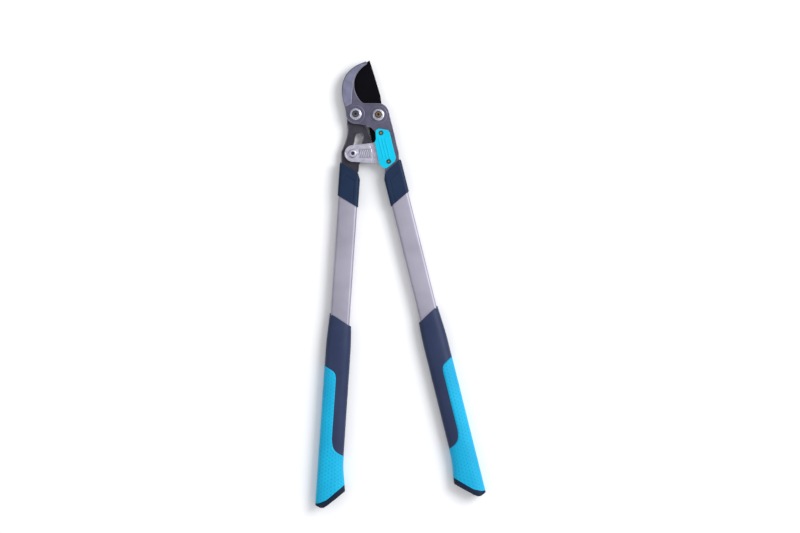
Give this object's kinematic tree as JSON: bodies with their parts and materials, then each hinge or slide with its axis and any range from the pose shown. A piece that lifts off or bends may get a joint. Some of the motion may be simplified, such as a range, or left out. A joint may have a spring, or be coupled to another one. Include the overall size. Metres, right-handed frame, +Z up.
{
  "type": "bypass lopper",
  "caption": "Long-handled two-handed bypass lopper with a hooked counter blade, a coated cutting blade, a compound link and oval handles with soft grips.",
  "frame": {"origin": "on the left handle's pivot axis, at the flat end of the pivot bolt's head that the tool lies on", "axes": "+Z up through the thickness, out of the face with the nuts; +Y from the pivots to the blade's tip; +X to the right seen from the front"},
  "size_m": [0.2663, 0.6995, 0.0282],
  "materials": {
    "forged_hook": "forged, shot blasted and lacquered",
    "forged_arm": "dark phosphated forging",
    "coated_blade": "black non-stick coating, satin",
    "cast_link": "die cast, tumbled",
    "guard_plastic": "moulded, satin gloss",
    "zinc_fasteners": "bright zinc plate",
    "pin_steel": "ground steel",
    "guard_screws": "bronzed steel heads",
    "bronze_bushes": "sintered bronze",
    "nylon_insert": "moulded nylon",
    "tube_aluminium": "matt anodised, drawn oval tube",
    "navy_ferrule": "moulded, fine texture",
    "navy_grip": "moulded, fine texture",
    "cyan_grip": "soft overmoulded elastomer with a fine dimple pattern",
    "navy_cap": "moulded, satin"
  },
  "bodies": {
    "right_handle": {"hook_plate": "forged_hook", "handle_pivot_bolt": "zinc_fasteners", "blade_pivot_bolt": "zinc_fasteners", "flange_nuts": "zinc_fasteners", "pivot_washers": "zinc_fasteners", "guard": "guard_plastic", "guard_screws": "guard_screws", "right_tang_insert": "nylon_insert", "right_tube": "tube_aluminium", "right_tang_rivets": "zinc_fasteners", "right_ferrule": "navy_ferrule", "right_grip_core": "navy_grip", "right_grip_panel": "cyan_grip", "right_end_cap": "navy_cap"},
    "left_handle": {"left_arm": "forged_arm", "arm_bush": "bronze_bushes", "link_screw": "zinc_fasteners", "link_locknut": "zinc_fasteners", "left_tang_insert": "nylon_insert", "left_tube": "tube_aluminium", "left_tang_rivets": "zinc_fasteners", "left_ferrule": "navy_ferrule", "left_grip_core": "navy_grip", "left_grip_panel": "cyan_grip", "left_end_cap": "navy_cap"},
    "blade": {"blade": "coated_blade", "blade_bush": "bronze_bushes", "tail_pin": "pin_steel", "tail_clip": "pin_steel"},
    "link": {"link": "cast_link", "link_bush": "bronze_bushes"}
  },
  "joints": [
    {"name": "left handle hinge", "type": "hinge", "parent": "right_handle", "child": "left_handle", "pos_m": [0, 0, 0.01], "axis": [0, 0, -1], "range_deg": [0, 48]},
    {"name": "blade hinge", "type": "hinge", "parent": "right_handle", "child": "blade", "pos_m": [0.0355, -0.001, 0.011], "axis": [0, 0, -1], "range_deg": [0, 46]},
    {"name": "link hinge", "type": "hinge", "parent": "left_handle", "child": "link", "pos_m": [-0.0043, -0.0612, 0.016], "axis": [0, 0, -1], "range_deg": [-36, 0]}
  ],
  "couplings": [
    {"joint": "blade hinge", "follows": "left handle hinge", "ratio": 0.954},
    {"joint": "link hinge", "follows": "left handle hinge", "ratio": -0.747}
  ]
}
